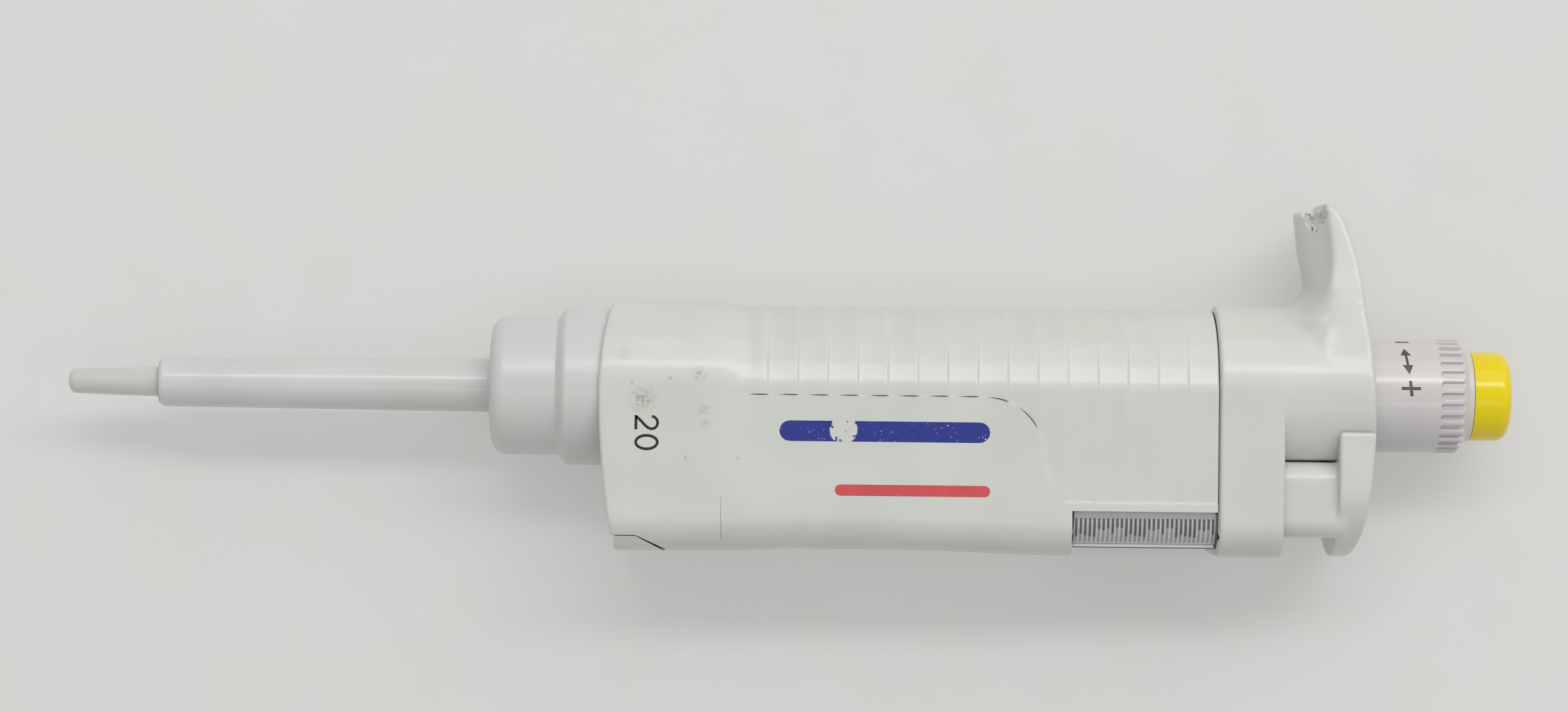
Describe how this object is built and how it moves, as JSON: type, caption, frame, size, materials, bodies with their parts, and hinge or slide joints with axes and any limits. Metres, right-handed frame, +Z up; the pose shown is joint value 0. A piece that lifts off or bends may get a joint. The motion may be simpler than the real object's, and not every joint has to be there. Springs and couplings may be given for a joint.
{
  "type": "adjustable micropipette",
  "caption": "Adjustable single-channel pipette with a turning volume knob, push button, finger hook, tip ejector key, geared drum counter and a slim tip cone.",
  "frame": {"origin": "on the surface that the pipette's flat side lies on, under the centre of its bounding box", "axes": "+X along the pipette from the tip cone to the push button, +Y towards the finger hook's side, +Z up from the flat side that it lies on"},
  "size_m": [0.2358, 0.0576, 0.028],
  "materials": {
    "housing_plastic": "fine satin moulded texture",
    "cone_plastic": "smooth satin",
    "knob_plastic": "smooth satin with printed marks",
    "button_plastic": "satin yellow",
    "clear_plastic": "clear moulded window, lightly scratched",
    "inner_plastic": "dark moulded",
    "drum_plastic": "white moulded",
    "steel": "ground",
    "brass": "turned",
    "seal_rubber": "moulded",
    "seal_plastic": "waxy white"
  },
  "bodies": {
    "handle": {"grip_shell": "housing_plastic", "upper_housing": "housing_plastic", "display_window": "clear_plastic", "counter_frame": "inner_plastic", "scale_strip_upper": "drum_plastic", "scale_strip_lower": "drum_plastic", "tip_cone": "cone_plastic", "piston_housing": "cone_plastic", "housing_gasket": "seal_rubber", "piston_seal": "seal_plastic", "seal_o_ring": "seal_rubber", "seal_retainer": "steel", "piston_spring": "steel", "lower_chassis": "inner_plastic", "upper_chassis": "inner_plastic", "blowout_spring": "steel", "guide_pin": "steel", "sleeve_bearing": "brass", "rod_bush": "seal_plastic", "counter_axle": "steel", "pinion_shaft": "steel", "ejector_spring": "steel"},
    "plunger": {"piston": "steel", "piston_head": "brass"},
    "blowout": {"blowout_ring": "brass"},
    "knob": {"volume_knob": "knob_plastic", "button_cap": "button_plastic", "push_rod": "steel", "knob_screw": "steel"},
    "lead_screw": {"setting_sleeve": "brass", "drive_gear": "brass"},
    "limit_nut": {"volume_nut": "brass"},
    "ejector": {"ejector_sleeve": "housing_plastic", "ejector_key": "housing_plastic", "ejector_rod": "steel", "ejector_carrier": "housing_plastic", "spring_clip": "steel"},
    "tenths": {"tenths_drum": "drum_plastic", "counter_gear": "brass"},
    "units": {"units_drum": "drum_plastic"},
    "tens": {"tens_drum": "drum_plastic"},
    "transfer_1": {"carry_pinion_1": "seal_plastic"},
    "transfer_2": {"carry_pinion_2": "seal_plastic"}
  },
  "joints": [
    {"name": "plunger_stroke", "type": "slide", "parent": "handle", "child": "plunger", "axis": [-1, 0, 0], "range_m": [0, 0.0125], "stiffness_N_per_m": 400, "springref_m": -0.006, "deforming": ["piston_spring"]},
    {"name": "blowout_slide", "type": "slide", "parent": "handle", "child": "blowout", "axis": [-1, 0, 0], "range_m": [0, 0.0026], "deforming": ["blowout_spring"]},
    {"name": "knob_turn", "type": "hinge", "parent": "plunger", "child": "knob", "pos_m": [0.09955, -0.0023, 0.014], "axis": [1, 0, 0], "range_deg": [0, 3240]},
    {"name": "setting_sleeve_turn", "type": "hinge", "parent": "handle", "child": "lead_screw", "pos_m": [0.03155, -0.0023, 0.014], "axis": [1, 0, 0], "range_deg": [-5, 3245]},
    {"name": "limit_nut_slide", "type": "slide", "parent": "handle", "child": "limit_nut", "axis": [1, 0, 0], "range_m": [-0.0001, 0.0092]},
    {"name": "ejector_slide", "type": "slide", "parent": "handle", "child": "ejector", "axis": [-1, 0, 0], "range_m": [0, 0.008], "stiffness_N_per_m": 300, "springref_m": -0.008, "deforming": ["ejector_spring"]},
    {"name": "tenths_turn", "type": "hinge", "parent": "handle", "child": "tenths", "pos_m": [0.05655, -0.0198, 0.014], "axis": [1, 0, 0], "range_deg": [-6485, 5]},
    {"name": "units_turn", "type": "hinge", "parent": "handle", "child": "units", "pos_m": [0.05655, -0.0198, 0.014], "axis": [1, 0, 0], "range_deg": [-653, 5]},
    {"name": "tens_turn", "type": "hinge", "parent": "handle", "child": "tens", "pos_m": [0.05655, -0.0198, 0.014], "axis": [1, 0, 0], "range_deg": [-69.8, 5]},
    {"name": "transfer_1_turn", "type": "hinge", "parent": "handle", "child": "transfer_1", "pos_m": [0.05355, -0.0169, 0.0053], "axis": [1, 0, 0], "range_deg": [-5, 1625]},
    {"name": "transfer_2_turn", "type": "hinge", "parent": "handle", "child": "transfer_2", "pos_m": [0.05355, -0.0169, 0.0053], "axis": [1, 0, 0], "range_deg": [-5, 167]}
  ],
  "couplings": [
    {"joint": "blowout_slide", "follows": "plunger_stroke", "ratio": 0.2},
    {"joint": "setting_sleeve_turn", "follows": "knob_turn", "ratio": 1},
    {"joint": "limit_nut_slide", "follows": "knob_turn", "m_per_rad": 0.00015915},
    {"joint": "tenths_turn", "follows": "knob_turn", "ratio": -2},
    {"joint": "units_turn", "follows": "knob_turn", "ratio": -0.2},
    {"joint": "tens_turn", "follows": "knob_turn", "ratio": -0.02},
    {"joint": "transfer_1_turn", "follows": "knob_turn", "ratio": 0.5},
    {"joint": "transfer_2_turn", "follows": "knob_turn", "ratio": 0.05}
  ]
}
